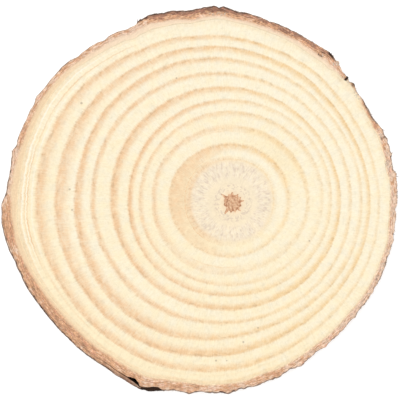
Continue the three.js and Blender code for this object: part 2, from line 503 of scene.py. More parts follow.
across = add_node(pine, "ShaderNodeSeparateXYZ", {0: direction}).outputs[0]
late_colour = mixed(pine, ramp(pine, across, -0.7, 0.6, 1.0, 0.0), LATE_YELLOW, LATE_PEACH)
early_share = total(
    pine, attribute(pine, "early_warm"),
    ramp(pine, mottle, 0.2, 0.8, -0.17, 0.17),
    ramp(pine, hatch, 0.25, 0.75, 0.05, -0.05),
)
early_colour = mixed(pine, ramp(pine, early_share, -0.3, 0.3), PALE_CREAM, WARM_CREAM)
wood_colour = mixed(pine, late_here, early_colour, late_colour)

for age, half_width, strength, towards, spread in FALSE_RINGS:
    off = maths(pine, "ABSOLUTE", maths(pine, "SUBTRACT", year_here, age))
    aim = (np.cos(np.radians(towards)), np.sin(np.radians(towards)), 0)
    facing = vector_maths(pine, "DOT_PRODUCT", {0: direction, 1: aim}, "Value")
    line = product(
        pine, ramp(pine, off, 0.0, half_width, abs(strength), 0.0),
        ramp(pine, facing, np.cos(np.radians(spread)), 1.0, 0.0, 1.0),
        ramp(pine, patches, 0.3, 0.7, 0.6, 1.3),
    )
    wood_colour = mixed(pine, line, wood_colour, late_colour if strength > 0 else LINE_PALE)

# The last cells of each year are the darkest: a fine broken line along its end.
year_edge = product(pine, ramp(pine, phase, 0.76, 0.88), late_end)
edge_line = product(pine, year_edge, ramp(pine, strokes, 0.48, 0.66, 0.04, 0.5), late_dark)
wood_colour = mixed(pine, edge_line, wood_colour, EDGE_BROWN)

# Stain in the heart: pale lines, soft smudges and grey flecks, drawn out along the radius.
fleck_lines = drawn_noise(pine, direction, 21, distance, 1000)
smudges = drawn_noise(pine, direction, 9, distance, 600, 1.0)
heart = product(pine, ramp(pine, year_now, 0.12, 0.25), ramp(pine, year_now, 0.85, 0.98, 1.0, 0.0))
fleck_zone = product(pine, ramp(pine, year_now, 0.48, 0.62), ramp(pine, year_now, 0.82, 0.94, 1.0, 0.0))
fleck_zone = product(pine, heart, fleck_zone)
wood_colour = mixed(pine, product(pine, heart, 0.75), wood_colour, HEARTWOOD)
pale_lines = product(pine, ramp(pine, fleck_lines, 0.5, 0.36, 0.15, 0.75), fleck_zone)
wood_colour = mixed(pine, pale_lines, wood_colour, HEART_PALE)
smudged = product(pine, ramp(pine, smudges, 0.42, 0.62), fleck_zone, 0.3)
wood_colour = mixed(pine, smudged, wood_colour, SMUDGE_LILAC)
flecks = product(
    pine, ramp(pine, fleck_lines, 0.46, 0.66), ramp(pine, smudges, 0.36, 0.6, 0.15, 1.0), fleck_zone, 0.5
)
wood_colour = mixed(pine, flecks, wood_colour, FLECK_GREY)
# Nearer the pith the stain lies in two broken circles.
circle_dashes = drawn_noise(pine, direction, 6, distance, 2400, 1.0)
circles = product(
    pine, ramp(pine, distance, 3.0 * MM, 3.6 * MM), ramp(pine, distance, 4.4 * MM, 5.4 * MM, 0.5, 0.0),
    ramp(pine, circle_dashes, 0.46, 0.62),
)
wood_colour = mixed(pine, circles, wood_colour, FLECK_GREY)

# The pith itself: brown with pale dots, palest in the middle, in a faint tan halo.
halo = ramp(pine, distance, 1.9 * MM, 3.6 * MM, 0.6, 0.0)
halo = product(pine, halo, ramp(pine, smudges, 0.3, 0.7, 0.6, 1.2))
wood_colour = mixed(pine, halo, wood_colour, PITH_LIGHT)
pith_speckle = noise(pine, from_pith, 2100, 2)
pith_colour = mixed(pine, ramp(pine, pith_speckle, 0.34, 0.5), PITH_DARK, PITH_BROWN)
pith_colour = mixed(pine, ramp(pine, pith_speckle, 0.52, 0.7), pith_colour, PITH_LIGHT)
pith_colour = mixed(pine, ramp(pine, distance, 0.5 * MM, 1.7 * MM, 0.35, 0.0), pith_colour, PITH_LIGHT)
pith_share = total(pine, attribute(pine, "pith"), ramp(pine, pith_speckle, 0.3, 0.7, 0.18, -0.18))
wood_colour = mixed(pine, ramp(pine, pith_share, 0.25, 0.8), wood_colour, pith_colour)

for x, y, radius in SPECKS:
    apart = vector_maths(pine, "DISTANCE", {0: flat_place, 1: (x * MM, y * MM, 0)}, "Value")
    cover = ramp(pine, apart, radius * 0.5 * MM, radius * 1.3 * MM, 0.55, 0.0)
    wood_colour = mixed(pine, cover, wood_colour, SPECK_BROWN)

shade = total(
    pine, ramp(pine, mottle, 0.2, 0.8, 0.98, 1.03),
    ramp(pine, grain, 0.15, 0.85, -0.04, 0.04),
    ramp(pine, rays, 0.2, 0.8, -0.02, 0.02),
    ramp(pine, hatch, 0.25, 0.75, -0.025, 0.025),
    ramp(pine, cells, 0.25, 0.75, -0.03, 0.025),
    ramp(pine, strokes, 0.55, 0.75, 0.0, -0.06),
)
saw_grain = total(pine, product(pine, grain, 0.6), product(pine, fine_rays, 0.4))
finish_surface(pine, pine_shader, toned(pine, wood_colour, shade), saw_grain, 0.2, 0.05 * MM)

wood.data.materials.append(pine)
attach(wood, "root")
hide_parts("wood_slice")


# ======================================================================
# The bark
# A thin skin all round: pale inner bark next to the wood, pink to red-brown corky bark
# outside it, and a weathered skin that flakes off in small scales. It grew on the wood.
BARK_COLUMNS = 1440
TOP_ROWS = 16
WALL_ROWS = 36
BASE_ROWS = 8
PLATE_WIDTH = 6.5  # mm
PLATE_HEIGHT = 9.0
SCALE_WIDTH = 2.1
SCALE_HEIGHT = 2.6

# Single dents and bulges of the skin near the top rim: bearing, height in mm, half width.
DENTS = [
    (10.2, 0.35, 0.6), (14, -0.3, 2), (17, 0.3, 0.5), (22.3, 0.2, 0.7), (24, -0.15, 0.8),
    (26, 0.2, 0.8), (31.5, -0.25, 2.2), (36, -0.2, 1.6), (41, -0.4, 1.8), (44.4, 0.35, 0.8),
    (46.2, -0.3, 0.7), (47.5, 0.3, 0.4), (49, 0.25, 0.5), (49.6, -0.25, 1.2), (53.1, 0.5, 0.6),
    (55.6, 0.15, 0.8), (67.5, 0.15, 1.2), (72, 0.15, 1.2), (88, -0.3, 1.2), (89.8, -0.25, 0.7),
    (92.7, 0.42, 0.8), (94.1, -0.35, 0.5), (95.6, 0.25, 0.9), (99, -0.3, 1.6), (101.4, -0.12, 0.8),
    (105.4, -0.15, 1), (107.4, 0.1, 0.6), (110, -0.2, 1), (117.1, 0.25, 0.6), (118.8, -0.4, 1.1),
    (128.5, -0.4, 1.2), (136.4, -0.35, 1.8), (145, -0.15, 2), (148, -0.25, 1.5), (151.5, 0.3, 0.8),
    (154, -0.35, 1.2), (158, -0.2, 2), (165, -0.25, 0.8), (167, 0.35, 1), (170.5, -0.15, 0.8),
    (173, -0.4, 2.4), (177, -0.25, 1.4), (180.8, 0.45, 1.8), (185, 0.15, 0.9), (190, 0.15, 4),
    (195, -0.35, 1.4), (198.5, -0.3, 1.2), (216, 0.1, 2), (246.4, 0.65, 2.1), (252, -0.45, 1.8),
    (257, 0.55, 1.2), (260.6, -0.3, 1.5), (266, -0.1, 0.9), (268.5, 0.3, 1.4), (270.9, 0.3, 0.6),
    (272.5, -0.4, 1.2), (275, -0.3, 1), (277.8, 0.2, 1), (287, -0.2, 1), (289, -0.45, 1),
    (293.2, 0.3, 1.3), (299, -0.15, 2), (303, 0.2, 1.2), (317, 0.3, 1), (321.2, -0.2, 0.9),
    (324, 0.15, 1.5), (330.5, -0.15, 1.5), (347, 0.25, 0.6), (351, 0.15, 1.2), (357.3, -0.25, 1.2),
]
# Dark spots on the flat sawn bark, partly painted shade standing in for hollows and chips, partly dark
# scales:
# bearing, depth in mm, half width in degrees, half depth in mm, and how black.
DARK_SPOTS = [
    (23.2, 1.25, 0.5, 0.2, 0.6), (23.4, 0.4, 0.4, 0.25, 0.7), (35, 0.5, 1.2, 0.2, 0.5),
    (44.4, 0.2, 0.7, 0.4, 0.65), (47.5, 0.5, 0.45, 0.8, 1), (56.3, 0.3, 1.1, 0.33, 0.95),
    (58.6, 1, 2, 0.12, 0.7), (59.3, 2, 0.6, 0.15, 0.6), (72, 0.15, 1.5, 0.15, 0.4),
    (93, 0.9, 0.9, 0.25, 0.5), (95.2, 1.2, 3, 0.6, 0.2), (97.5, 0.8, 1.5, 0.15, 0.4),
    (185, 0.5, 1.2, 0.15, 0.4), (192, 0.4, 5, 0.2, 0.2), (203.3, 1.3, 0.7, 0.25, 0.5),
    (215, 0.45, 12, 0.2, 0.25), (223.8, 1.4, 1, 0.3, 0.42), (236, 0.35, 8, 0.4, 0.35),
    (323.5, 0.8, 1.2, 0.1, 0.4), (332, 0.75, 0.4, 0.25, 0.5), (333.4, 0.75, 0.4, 0.2, 0.5),
    (356, 0.8, 0.6, 0.15, 0.4),
]
# The old skin has split off along a crack, with a gap where it gapes, and its broken end lies low; that end
# and the gap are painted near-black as shade: bearing, thickness of the loose flake in mm, width of the gap
# behind it in mm, height of its top below the sawn face in mm.
SPLIT = [
    (204, 0.14, -0.12, 0), (209, 0.5, -0.1, 0), (216, 0.9, -0.06, 0), (227, 1.1, -0.02, 0),
    (230, 1.15, 0.01, 0), (234, 1.15, 0.08, 0), (238.7, 1.05, 0.16, 0), (239.8, 0.95, 0.6, 0),
    (241, 0.9, 0.92, 0), (242.2, 0.75, 0.7, 0), (243.1, 0.5, 0.25, 0), (243.9, 0.7, 0.05, 0.4),
    (244.8, 0.85, 0.02, 1.6), (246.7, 1.2, 0.02, 1.6), (247.8, 1.1, 0.02, 1.6),
    (249.2, 0.55, -0.05, 0.8), (250, 0.3, -0.3, 0),
]
SPLIT_FROM, SPLIT_TO = SPLIT[0][0], SPLIT[-1][0]
# Crumbs on the skin: height in mm, how many round the stem, how tall in mm, random seed.
CRUMBS = [(0.14, 150, 2.5, 46), (0.1, 420, 1.4, 44), (0.05, 900, 0.5, 45)]
CRACK_EDGE = 0.16  # share of a plate
CELL_ROWS = 61  # rows of random cells before the pattern repeats
THINNEST = 0.12  # mm, the least bark left on the wood
WOOD_OVERLAP = 0.2  # mm, how far the bark's edge reaches in under the wood's
SAWN_DROP = 0.15  # mm, how far the sawn bark lies inside the frame's box
SAWN_GRAIN = 0.045  # mm, how rough it is
EDGE_DROP = 0.3  # mm, how far its edge against the wood lies inside the box

# Tints of the outer skin, and of the bark under it.
TAN_SKIN = np.array([0.47, 0.33, 0.235])
GREY_SKIN = np.array([0.26, 0.185, 0.14])
DARK_SKIN = np.array([0.085, 0.042, 0.03])
PINK_BARK = np.array([0.4, 0.24, 0.165])
RED_BARK = np.array([0.3, 0.13, 0.075])
# Near-black painted shade: the gap behind the loose flake, the flake's inner side and its low broken end.
PAINTED_SHADE_BLACK = np.array([0.028, 0.012, 0.006])

bark_bearings = np.arange(BARK_COLUMNS) * 360 / BARK_COLUMNS
girth = 2 * np.pi * MEAN_REACH  # mm
tall = (high.z - low.z) / MM


def cell_pattern(across, along, repeat, seed):
    """Random cells, one point to each lattice square. For each place: how far it is from the
    nearest border between cells, and the random number of its own cell."""
    rng = np.random.default_rng(seed)
    jitter = rng.uniform(0.15, 0.85, (repeat, CELL_ROWS, 2))
    marks = rng.uniform(0, 1, (repeat, CELL_ROWS))
    across, along = np.broadcast_arrays(across, along)
    column, row = np.floor(across).astype(int), np.floor(along).astype(int)
    nearest = second = np.full(across.shape, 9.0)
    mark = np.zeros(across.shape)
    for right in (-1, 0, 1):
        for up in (-1, 0, 1):
            seat = ((column + right) % repeat, (row + up) % CELL_ROWS)
            seat_across, seat_along = np.moveaxis(jitter[seat], -1, 0)
            apart = np.hypot(column + right + seat_across - across, row + up + seat_along - along)
            closer = apart < nearest
            second = np.where(closer, nearest, np.minimum(second, apart))
            mark = np.where(closer, marks[seat], mark)
            nearest = np.where(closer, apart, nearest)
    return second - nearest, mark


def skin_relief(bearing, height):
    """How far the bark's skin stands off its mean reach, in mm, at a height in mm: plates a
    few mm across at slightly different levels, smaller scales on them, crumbs, and the
    single dents, which fade down the side."""
    plates, scales = round(girth / PLATE_WIDTH), round(girth / SCALE_WIDTH)
    bend = 0.4 * soft_noise(bearing, 80, height / 3, 41)
    plate_row, scale_row = height / PLATE_HEIGHT + 0.3 + bend / 2, height / SCALE_HEIGHT + bend
    plate_edge, plate_mark = cell_pattern(bearing / 360 * plates + bend, plate_row, plates, 42)
    scale_edge, scale_mark = cell_pattern(bearing / 360 * scales + bend, scale_row, scales, 43)
    deep = 1 - 0.8 * np.exp(-(tall - height) / 1.5)
    cracks = 0.4 * deep * (1 - plate_mark) * (1 - eased(plate_edge / CRACK_EDGE))
    relief = (0.3 * (plate_mark - 0.5) - cracks) * deep
    on_scale = eased(scale_edge / 0.1)
    relief += 0.2 * (scale_mark - 0.5) * on_scale - 0.08 * (1 - on_scale)
    for crumb, cells, crumb_height, seed in CRUMBS:
        relief += crumb * soft_noise(bearing, cells, height / crumb_height, seed)
    relief = relief * round_stem(bearing, BARK, ROUGH)
    dent_fade = 0.25 + 0.75 * np.exp(-(tall - height) / 4)
    for at, dent, half_width in DENTS:
        relief = relief + dent * bell(bearing, at, half_width) * dent_fade
    return relief, plate_edge, plate_mark, scale_mark


def spots_at(bearing, depth):
    """How black the sawn bark is from its dark spots: a bell in bearing times one in depth."""
    black = 0.0 * (bearing + depth)
    ragged = 0.35 * soft_noise(bearing, 500, depth * 3, 54)
    for at, deep, half_width, half_depth, strength in DARK_SPOTS:
        spot = bell(bearing, at, half_width) * np.exp(-(((depth - deep) / half_depth) ** 2))
        black = np.maximum(black, strength * eased(spot * 1.7 + ragged * spot))
    return black


def mix_tints(share, first, second):
    """Tints mixed point by point: first times (1 - share), plus second times share."""
    return first * (1 - share[..., None]) + second * share[..., None]


def skin_colour(bearing, height, plate_edge, plate_mark, scale_mark):
    """The colour of the outside of the bark: tan where it is smooth, grey to dark brown
    where it is old, redder down the cracks between the plates, each scale its own shade."""
    brown, dark = round_stem(bearing, BARK, BROWN), round_stem(bearing, BARK, DARK)
    weather = eased(0.55 + 0.9 * soft_noise(bearing, 70, height / 5, 53))
    old = mix_tints(0.3 + 0.7 * plate_mark, DARK_SKIN, GREY_SKIN)
    tint = mix_tints((0.2 + 0.8 * dark) * weather, TAN_SKIN, old)
    crevice = mix_tints(brown + 0 * plate_edge, PINK_BARK, RED_BARK)
    tint = mix_tints(0.25 + 0.75 * eased(plate_edge / CRACK_EDGE), crevice, tint)
    return tint * (0.7 + 0.6 * scale_mark)[..., None]


def foot_height(bearing):
    """How high above the underside the split ends, in mm: a mean plus slow and quick noise."""
    return 2.2 + 1.6 * soft_noise(bearing, 60, 1.7, 61) + 0.5 * soft_noise(bearing, 240, 0.3, 62)


# The wall's rows of points lie closer together towards both rims.
wall_share = np.linspace(0, 1, WALL_ROWS)
wall_share = 0.5 - 0.5 * np.cos(np.pi * (0.1 + 0.8 * wall_share)) / np.cos(np.pi * 0.1)
wall_heights = ((1 - wall_share) * tall)[:, None]
around = bark_bearings[None]
relief, plate_edge, plate_mark, scale_mark = skin_relief(around, wall_heights)
crumble = 1 + 0.8 * soft_noise(around, 300, 0.0, 46)
rim = 0.05 * np.exp(-(tall - wall_heights) / 0.3) + 0.2 * np.exp(-wall_heights / 0.35)
skin_reach = stem_reach(around) / MM + relief - rim * crumble

outer_reach = skin_reach[0]
gap_width = round_stem(around, SPLIT, 2)
behind = stem_reach(around) / MM - round_stem(around, SPLIT, 1) - gap_width
at_split = (around >= SPLIT_FROM) & (around <= SPLIT_TO)
uncovered = eased((wall_heights - foot_height(around) + 0.6) / 0.8) * at_split
skin_reach = skin_reach * (1 - uncovered) + np.minimum(skin_reach, behind) * uncovered
wood_edge = wood_reach(around) / MM
skin_reach = np.maximum(skin_reach, wood_edge + THINNEST)

top_share = np.linspace(0, 1, TOP_ROWS)[:, None]
base_share = np.linspace(1, 0, BASE_ROWS)[:, None]
inner_edge = wood_edge - WOOD_OVERLAP
top_reach = inner_edge + (skin_reach[0] - inner_edge) * top_share
base_reach = inner_edge + (skin_reach[-1] - inner_edge) * base_share
top_grain = soft_noise(around, 500, top_reach * 4, 47) + soft_noise(around, 220, top_reach * 2, 48)
top_height = tall - SAWN_DROP + SAWN_GRAIN * top_grain - 0.12 * top_share**8 * crumble
top_height[0] = tall - EDGE_DROP
base_height = SAWN_DROP + SAWN_GRAIN * soft_noise(around, 500, base_reach * 3, 49)
base_height[-1] = EDGE_DROP
bark_reach = np.concatenate([top_reach, skin_reach[1:-1], base_reach])
bark_height = np.concatenate([top_height, wall_heights[1:-1] + 0 * skin_reach[1:-1], base_height])


def bark_points(reach, height, bearing):
    """Points on the object at distances from the pith and heights, both in mm, kept inside
    the frame's box."""
    x = PITH_X + reach * np.cos(np.radians(bearing)) * MM
    y = PITH_Y + reach * np.sin(np.radians(bearing)) * MM
    z = low.z + height * MM
    points = np.stack(np.broadcast_arrays(x, y, z), -1).reshape(-1, 3)
    return points.clip(list(low), list(high))


def bark_values(bearing, reach, sawn, under_skin, skin_tint):
    """The bark's values at each point: depth under the stem's own outline and under the skin
    just there, what lies at that depth, how black it is, whether it is sawn, and the skin's
    own tint."""
    shape = reach.shape
    depth = stem_reach(bearing) / MM - reach
    values = [("depth", depth), ("under_skin", under_skin)]
    for name, column in (("thick", THICK), ("coloured", COLOURED), ("brown", BROWN), ("skin_dark", DARK)):
        values.append((name, round_stem(bearing, BARK, column)))
    values += [("black", spots_at(bearing, depth)), ("sawn", sawn)]
    values = [(name, "FLOAT", np.broadcast_to(value, shape).reshape(-1)) for name, value in values]
    tint = np.concatenate([skin_tint, np.ones(shape + (1,))], -1)
    return values + [("skin_tint", "FLOAT_COLOR", tint.reshape(-1, 4))]


wall_tint = skin_colour(around, wall_heights, plate_edge, plate_mark, scale_mark)
# Painted shade: behind the loose flake the wall is darkened towards near-black, most where the gap is
# widest.
wall_tint = mix_tints(uncovered * eased(gap_width / 0.1 + 0.3) * 0.85, wall_tint, PAINTED_SHADE_BLACK * 4.5)
row_tint = wall_tint[[0] * TOP_ROWS + list(range(1, WALL_ROWS - 1)) + [-1] * BASE_ROWS]
is_sawn = np.ones_like(bark_reach)
is_sawn[TOP_ROWS:-BASE_ROWS] = 0.0
is_sawn[[TOP_ROWS - 1, -BASE_ROWS]] = 0.6
under_skin = np.zeros_like(bark_reach)
under_skin[:TOP_ROWS] = np.maximum(outer_reach, skin_reach[0]) - top_reach
under_skin[-BASE_ROWS:] = skin_reach[-1] - base_reach


def strip_places(corner_row, corner_column, row_lengths, columns, strips, span):
    """Where corners lie on the flat layout: unrolled in strips, one above the other, each
    row as far from the last as it is on the piece. The span is the strips' lowest and
    highest place."""
    row_place = np.concatenate([[0], np.cumsum(row_lengths)]) / row_lengths.sum()
    per_strip = columns // strips
    strip = corner_column.min(1)[:, None] // per_strip
    place_u = 0.01 + 0.98 * (corner_column - strip * per_strip) / per_strip
    place_v = span[0] + (span[1] - span[0]) * (strip + 0.02 + 0.95 * row_place[corner_row]) / strips
    return np.stack([place_u, place_v], -1).reshape(-1, 2)


bark_quads, corner_row, corner_column = quads_between(len(bark_reach), BARK_COLUMNS, True)
row_lengths = np.hypot(np.diff(bark_reach.mean(1)), np.diff(bark_height.mean(1)))
row_lengths = np.append(row_lengths, 0.8)
bark = fill_mesh(
    "bark",
    bark_points(bark_reach, bark_height, around),
    bark_quads.tolist(),
    bark_values(around, bark_reach, is_sawn, under_skin, row_tint),
    strip_places(corner_row, corner_column, row_lengths, BARK_COLUMNS, 4, (0, 1)),
)

# Bark: layers by depth under the skin where it is sawn, the skin's own tint elsewhere.
BARK_PINK = (0.64, 0.46, 0.34, 1)
BARK_ORANGE = (0.575, 0.32, 0.18, 1)
BARK_RED = (0.31, 0.155, 0.1, 1)
BARK_ROSE = (0.56, 0.245, 0.17, 1)
BARK_FIBRE = (0.74, 0.6, 0.47, 1)
INNER_PINK = (0.765, 0.6, 0.44, 1)
INNER_PEACH = (0.735, 0.55, 0.355, 1)
CUT_TAN = (0.53, 0.41, 0.325, 1)
CUT_DARK = (0.085, 0.047, 0.037, 1)
CUT_BLACK = (0.03, 0.014, 0.008, 1)
CAMBIUM_GREY = (0.63, 0.52, 0.38, 1)

corky, corky_shader = new_finish("pine_bark", 0.85, 0.2)
from_pith, _, _, direction = place_about_pith(corky)
depth, brown = attribute(corky, "depth"), attribute(corky, "brown")
streaks = drawn_noise(corky, direction, 34, depth, 4.4, 3.0)
fibres = drawn_noise(corky, direction, 60, depth, 6.5)
clouds = drawn_noise(corky, direction, 16, depth, 1.3)
rosy = drawn_noise(corky, direction, 28, depth, 3, 1.0)
speckle = noise(corky, from_pith, 2400, 3, 0.6)
blotch = noise(corky, from_pith, 700, 2)

# The brown lies nearest the skin towards +Y, and deeper down elsewhere.
to_plus_y = ramp(corky, add_node(corky, "ShaderNodeSeparateXYZ", {0: direction}).outputs[1], 0.5, 0.85)
elsewhere = maths(corky, "SUBTRACT", 1.0, to_plus_y)
hue_outside = product(corky, ramp(corky, depth, 0.3, 2.0, 0.6, -0.3), to_plus_y)
hue_inside = product(corky, ramp(corky, depth, 0.4, 1.4, -0.15, 0.1), elsewhere)
hue = total(
    corky, brown,
    ramp(corky, blotch, 0.25, 0.75, -0.28, 0.28),
    ramp(corky, streaks, 0.3, 0.7, -0.3, 0.3),
    product(corky, total(corky, hue_outside, hue_inside), brown),
)
sawn_colour = mixed(corky, ramp(corky, hue, 0.15, 0.65), BARK_PINK, BARK_ORANGE)
red_share = product(corky, ramp(corky, hue, 0.7, 1.15), ramp(corky, to_plus_y, 0.0, 1.0, 0.35, 1.0))
sawn_colour = mixed(corky, red_share, sawn_colour, BARK_RED)
sawn_colour = mixed(corky, ramp(corky, rosy, 0.55, 0.72, 0.0, 0.55), sawn_colour, BARK_ROSE)
sawn_colour = mixed(corky, ramp(corky, fibres, 0.56, 0.72, 0.0, 0.5), sawn_colour, BARK_FIBRE)

# The inner bark is pinker towards +Y, and has a grey line next to the wood there.
wavy = product(corky, maths(corky, "SUBTRACT", clouds, 0.5), 0.7)
layer = total(corky, depth, wavy, ramp(corky, streaks, 0.2, 0.8, -0.2, 0.2))
inner_share = maths(corky, "SUBTRACT", layer, attribute(corky, "coloured"))
inner_colour = mixed(corky, to_plus_y, INNER_PEACH, INNER_PINK)
sawn_colour = mixed(corky, ramp(corky, inner_share, -0.45, 0.6), sawn_colour, inner_colour)
to_wood = maths(corky, "SUBTRACT", attribute(corky, "thick"), depth)
sawn_colour = mixed(corky, ramp(corky, to_wood, 0.6, -0.1, 0.0, 0.6), sawn_colour, WARM_CREAM)
cambium = product(corky, ramp(corky, to_wood, 0.32, 0.08), to_plus_y, 0.7)
sawn_colour = mixed(corky, cambium, sawn_colour, CAMBIUM_GREY)

# The skin is a line along the outside where it is cut, wider and darker where it is old.
skin_patches = ramp(corky, blotch, 0.25, 0.75, -0.25, 0.25)
skin_dark = maths(corky, "ADD", attribute(corky, "skin_dark"), skin_patches, clamp=True)
skin_limit = product(corky, skin_dark, ramp(corky, to_plus_y, 0.0, 1.0, 0.44, 0.34))
skin_limit = total(corky, skin_limit, ramp(corky, streaks, 0.3, 0.7, 0.0, 0.14))
skin_share = maths(corky, "SUBTRACT", skin_limit, attribute(corky, "under_skin"))
skin_share = maths(corky, "MULTIPLY", maths(corky, "DIVIDE", skin_share, 0.13), 0.9, clamp=True)
sawn_colour = mixed(corky, skin_share, sawn_colour, mixed(corky, skin_dark, CUT_TAN, CUT_DARK))

tone = product(
    corky, ramp(corky, speckle, 0.22, 0.78, 0.75, 1.25), ramp(corky, streaks, 0.25, 0.75, 1.22, 0.76)
)
tone = product(corky, maths(corky, "SUBTRACT", tone, 1.0), ramp(corky, inner_share, -0.3, 0.4, 1.0, 0.25))
bark_colour = mixed(corky, attribute(corky, "sawn"), attribute(corky, "skin_tint", "Color"), sawn_colour)
bark_colour = toned(corky, bark_colour, total(corky, tone, 1.0))
# Dark spots: partly painted shade of hollows and chips, partly dark scales.
bark_colour = mixed(corky, attribute(corky, "black"), bark_colour, CUT_BLACK)
crumb_bumps = total(corky, product(corky, speckle, 0.6), product(corky, streaks, 0.4))
finish_surface(corky, corky_shader, bark_colour, crumb_bumps, 0.6, 0.18 * MM)

bark.data.materials.append(corky)
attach(bark, "root")
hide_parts("wood_slice")


# ======================================================================
# The loose flake
# A long scale of the same bark, towards -X and -Y. It has split from the bark behind it, is broken off low
# at one end, where it is painted black as shade, and still hangs on by its lower edge.
FLAKE_COLUMNS = 360
flake_bearing = np.linspace(SPLIT_FROM, SPLIT_TO, FLAKE_COLUMNS)[None]
flake_taper = np.minimum(flake_bearing - SPLIT_FROM, (SPLIT_TO - flake_bearing) * 2) / 2 + 0.08
thickness = round_stem(flake_bearing, SPLIT, 1) * np.minimum(1, flake_taper)
top_drop = round_stem(flake_bearing, SPLIT, 3)
flake_top = tall - 0.14 - top_drop
flake_base = foot_height(flake_bearing) - 0.2
# Round the flake's section: share of its height down, and share of its thickness inwards.
FLAKE_SECTION = [
    (0.03, 0.04), (0.06, 0), (0.14, 0), (0.25, 0), (0.38, 0), (0.5, 0), (0.62, 0), (0.74, 0), (0.86, 0.05),
    (0.95, 0.2), (1, 0.45), (1, 0.8), (0.9, 1), (0.6, 1), (0.3, 1), (0.05, 1), (0, 0.95), (0, 0.72),
    (0, 0.48), (0, 0.24),
]
down, inward = np.array(FLAKE_SECTION).T[..., None]
flake_height = flake_top + (flake_base - flake_top) * down
relief, plate_edge, plate_mark, scale_mark = skin_relief(flake_bearing, flake_height)
flake_reach = stem_reach(flake_bearing) / MM + relief * (1 - inward) - thickness * inward - 0.02
flake_height = flake_height + 0.04 * soft_noise(flake_bearing, 500, flake_reach * 4, 47) * (down == 0)
flake_tint = skin_colour(flake_bearing, flake_height, plate_edge, plate_mark, scale_mark)
# It is redder near the broken end. There, and on its inner side facing the gap, it is painted black as
# shade.
redder = 0.7 * bell(flake_bearing, 238.7, 6) * (down < 0.1)
broken = eased(top_drop / 0.4)
painted_shade_share = np.maximum(broken * (down < 0.3), 0.9 * (inward == 1))
flake_tint = mix_tints(redder, flake_tint, RED_BARK)
flake_tint = mix_tints(painted_shade_share, flake_tint, PAINTED_SHADE_BLACK)
flake_sawn = (down == 0) * (1 - broken) * (1 - redder)
flake_rows = len(down)

flake_quads, corner_row, corner_column = quads_between(flake_rows, FLAKE_COLUMNS + 1, True)
inside = corner_column.max(1) < FLAKE_COLUMNS
corner_row, corner_column = corner_row[inside], corner_column[inside]
flake_quads = corner_row % flake_rows * FLAKE_COLUMNS + corner_column
start_cap = np.arange(flake_rows)[::-1] * FLAKE_COLUMNS
end_cap = np.arange(flake_rows) * FLAKE_COLUMNS + FLAKE_COLUMNS - 1
cap_angle = np.arange(flake_rows) / flake_rows * 2 * np.pi
cap_ring = np.stack([np.cos(cap_angle), np.sin(cap_angle)], -1) * 0.015
row_lengths = np.hypot(np.diff(flake_reach.mean(1)), np.diff(flake_height.mean(1)))
row_lengths = np.append(row_lengths, 0.3)
flake = fill_mesh(
    "bark_flake",
    bark_points(flake_reach, flake_height, flake_bearing),
    flake_quads.tolist() + [start_cap.tolist(), end_cap.tolist()],
    bark_values(flake_bearing, flake_reach, flake_sawn, flake_reach[1] - flake_reach, flake_tint),
    np.concatenate([
        strip_places(corner_row, corner_column, row_lengths, FLAKE_COLUMNS, 2, (0, 0.94)),
        cap_ring[::-1] + [0.1, 0.97],
        cap_ring + [0.9, 0.97],
    ]),
)
flake.data.materials.append(corky)
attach(flake, "root")
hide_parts("wood_slice")


# ======================================================================
# The shreds
# Torn bast fibres and slivers of bark left by the saw. Some stick out of the rims, and
# others lie on the sawn bark.

# Bearing, depth of the root in mm, length in mm, lean round the rim in degrees, paleness.
RIM_SHREDS = [
    (9.3, 0.3, 1, 70, 0.1), (17.2, 0.3, 0.7, 110, 0.4), (26, 0.3, 0.7, 60, 0.1),
    (33, 0.3, 0.6, 40, 0.1), (52.4, 0.5, 1.3, 100, 1), (57, 0.3, 0.7, 30, 0), (64, 0.3, 0.6, 40, 0),
    (116.6, 0.3, 0.9, 100, 0), (117.6, 0.3, 1, 80, 0), (118.1, 0.3, 0.7, 60, 0.1),
    (139, 0.3, 0.6, 30, 0.1), (167, 0.3, 0.6, 60, 0.3), (216, 0.3, 0.5, 30, 0),
    (345, 0.3, 0.6, 50, 0.6), (350.5, 0.3, 0.6, 60, 0.5), (2, 0.3, 0.5, 60, 0.5),
    (13, 0.3, 0.6, 120, 1), (43, 0.3, 0.6, 60, 0.9),
]
LYING_FIBRES = [
    (12.6, 1.4, 1.4, 125, 1), (13.4, 1.7, 1.6, 125, 0.9), (14.2, 1.9, 1.5, 120, 1),
    (14.9, 1.6, 1, 130, 0.8), (23.9, 1.3, 1.1, 95, 0.9), (24.6, 1.2, 1, 100, 1),
    (39.6, 0.9, 0.9, 60, 0.9), (40.4, 1, 1, 120, 1), (41.3, 1.1, 0.9, 75, 1), (42, 0.9, 0.8, 110, 0.9),
    (46.3, 0.7, 0.8, 60, 0.9), (48.4, 1, 1, 110, 1), (52.9, 1.2, 1.3, 110, 1),
    (53.6, 1.5, 1.2, 125, 0.9), (58.2, 1.9, 1, 140, 1), (59, 2.1, 0.8, 40, 0.1),
    (59.8, 2.1, 0.7, 120, 0.1), (92.5, 2.2, 0.7, 60, 1), (93.6, 2.3, 0.6, 70, 1),
    (94.8, 2.2, 0.7, 50, 0.9), (96, 2.3, 0.6, 80, 1), (97, 2, 0.6, 60, 0.8), (335.6, 0.8, 1, 135, 0.9),
    (336.6, 1, 1.1, 135, 0.8), (337.6, 1.1, 1, 130, 0.9), (326, 0.9, 1.2, 130, 0.8),
]
LYING_DEEPER_THAN = 0.6  # mm, the depth of root from which a shred lies on the sawn bark
SHRED_STEPS = 6
SHRED_ROOT, SHRED_TIP = 0.1, 0.012  # half widths in mm
PALE_SHRED = np.array([0.74, 0.65, 0.53])

